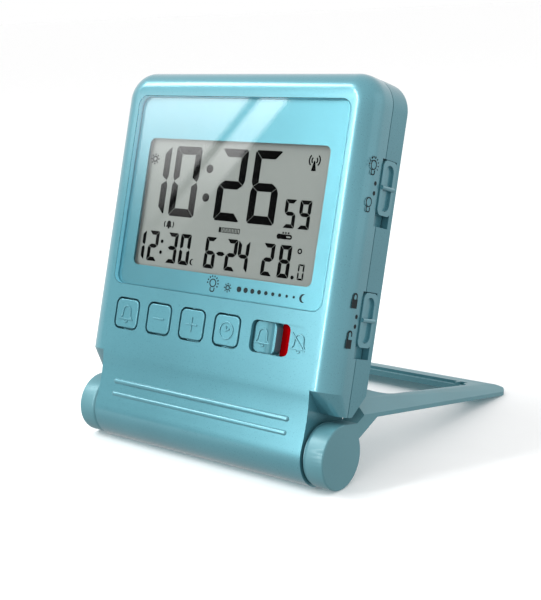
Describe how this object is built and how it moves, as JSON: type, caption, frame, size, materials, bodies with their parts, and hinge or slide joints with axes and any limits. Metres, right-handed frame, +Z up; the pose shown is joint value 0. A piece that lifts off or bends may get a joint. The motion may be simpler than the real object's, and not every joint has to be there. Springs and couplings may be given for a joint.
{
  "type": "travel alarm clock",
  "caption": "Flat digital travel alarm clock with a large display, front keys, slide switches and a hinged frame that flips from the front to a stand at the back.",
  "frame": {"origin": "middle of the footprint on the table, under the open stand", "axes": "+X to the clock's right seen from the front, +Y to the back, +Z up; the face leans back and looks along -Y"},
  "size_m": [0.0849, 0.0958, 0.0989],
  "materials": {
    "case_front": "metallic teal paint, satin",
    "case_back": "metallic teal paint, satin",
    "stand": "metallic teal paint, satin",
    "key_cap": "metallic teal paint, satin, raised symbols",
    "slide_cap": "metallic teal paint, satin",
    "lens": "clear hard-coated acrylic",
    "lens_print": "light teal metallic print",
    "lcd": "grey-green display glass with dark segments",
    "holder": "white",
    "guide": "milky clear acrylic",
    "led": "white lamp body",
    "contact_rubber": "layered contact rubber",
    "board": "green solder mask",
    "screw_steel": "zinc plated",
    "chip": "black resin",
    "can_metal": "plated can",
    "ferrite": "dark sintered ferrite",
    "copper_wire": "enamelled copper winding",
    "buzzer_black": "black",
    "switch_black": "black",
    "flag_red": "red signal field",
    "cell_jacket": "plain printed jacket",
    "contact_steel": "nickel plated spring steel",
    "pin_steel": "ground steel",
    "bush_white": "natural acetal",
    "washer_black": "friction rubber"
  },
  "bodies": {
    "case": {"front_case": "case_front", "rear_case": "case_back", "display_lens": "lens", "lens_film": "lens_print", "lcd_glass": "lcd", "lcd_holder": "holder", "light_guide": "guide", "night_leds": "led", "contact_strip": "contact_rubber", "main_board": "board", "board_screws": "screw_steel", "controller_chip": "chip", "quartz_crystal": "can_metal", "receiver_board": "board", "antenna_rod": "ferrite", "antenna_coil": "copper_wire", "buzzer": "buzzer_black", "light_sensor": "chip", "heat_sensor": "chip", "key_switches": "switch_black", "alarm_flag": "flag_red", "alarm_switch": "switch_black", "light_switch": "switch_black", "lock_switch": "switch_black", "battery_cells": "cell_jacket", "battery_contacts": "contact_steel", "case_screws": "screw_steel", "hinge_bushes": "bush_white"},
    "stand": {"stand_frame": "stand", "hinge_pins": "pin_steel", "friction_washers": "washer_black"},
    "alarm_key": {"alarm_key": "key_cap"},
    "minus_key": {"minus_key": "key_cap"},
    "plus_key": {"plus_key": "key_cap"},
    "time_key": {"time_key": "key_cap"},
    "alarm_slide": {"alarm_slide": "slide_cap"},
    "light_slide": {"light_slide": "slide_cap"},
    "lock_slide": {"lock_slide": "slide_cap"},
    "battery_door": {"battery_door": "case_back"}
  },
  "joints": [
    {"name": "stand_hinge", "type": "hinge", "parent": "case", "child": "stand", "pos_m": [0, -0.03937, 0.00826], "axis": [-1, 0, 0], "range_deg": [0, 275.9]},
    {"name": "alarm_key_press", "type": "slide", "parent": "case", "child": "alarm_key", "axis": [0, 0.9538, -0.3006], "range_m": [0, 0.0006], "stiffness_N_per_m": 300},
    {"name": "minus_key_press", "type": "slide", "parent": "case", "child": "minus_key", "axis": [0, 0.9538, -0.3006], "range_m": [0, 0.0006], "stiffness_N_per_m": 300},
    {"name": "plus_key_press", "type": "slide", "parent": "case", "child": "plus_key", "axis": [0, 0.9538, -0.3006], "range_m": [0, 0.0006], "stiffness_N_per_m": 300},
    {"name": "time_key_press", "type": "slide", "parent": "case", "child": "time_key", "axis": [0, 0.9538, -0.3006], "range_m": [0, 0.0006], "stiffness_N_per_m": 300},
    {"name": "alarm_slide_move", "type": "slide", "parent": "case", "child": "alarm_slide", "axis": [1, 0, 0], "range_m": [0, 0.003]},
    {"name": "light_slide_move", "type": "slide", "parent": "case", "child": "light_slide", "axis": [0, -0.3006, -0.9538], "range_m": [0, 0.0027]},
    {"name": "lock_slide_move", "type": "slide", "parent": "case", "child": "lock_slide", "axis": [0, -0.3006, -0.9538], "range_m": [0, 0.0027]},
    {"name": "battery_door_slide", "type": "slide", "parent": "case", "child": "battery_door", "axis": [0, -0.3006, -0.9538], "range_m": [0, 0.02]}
  ]
}
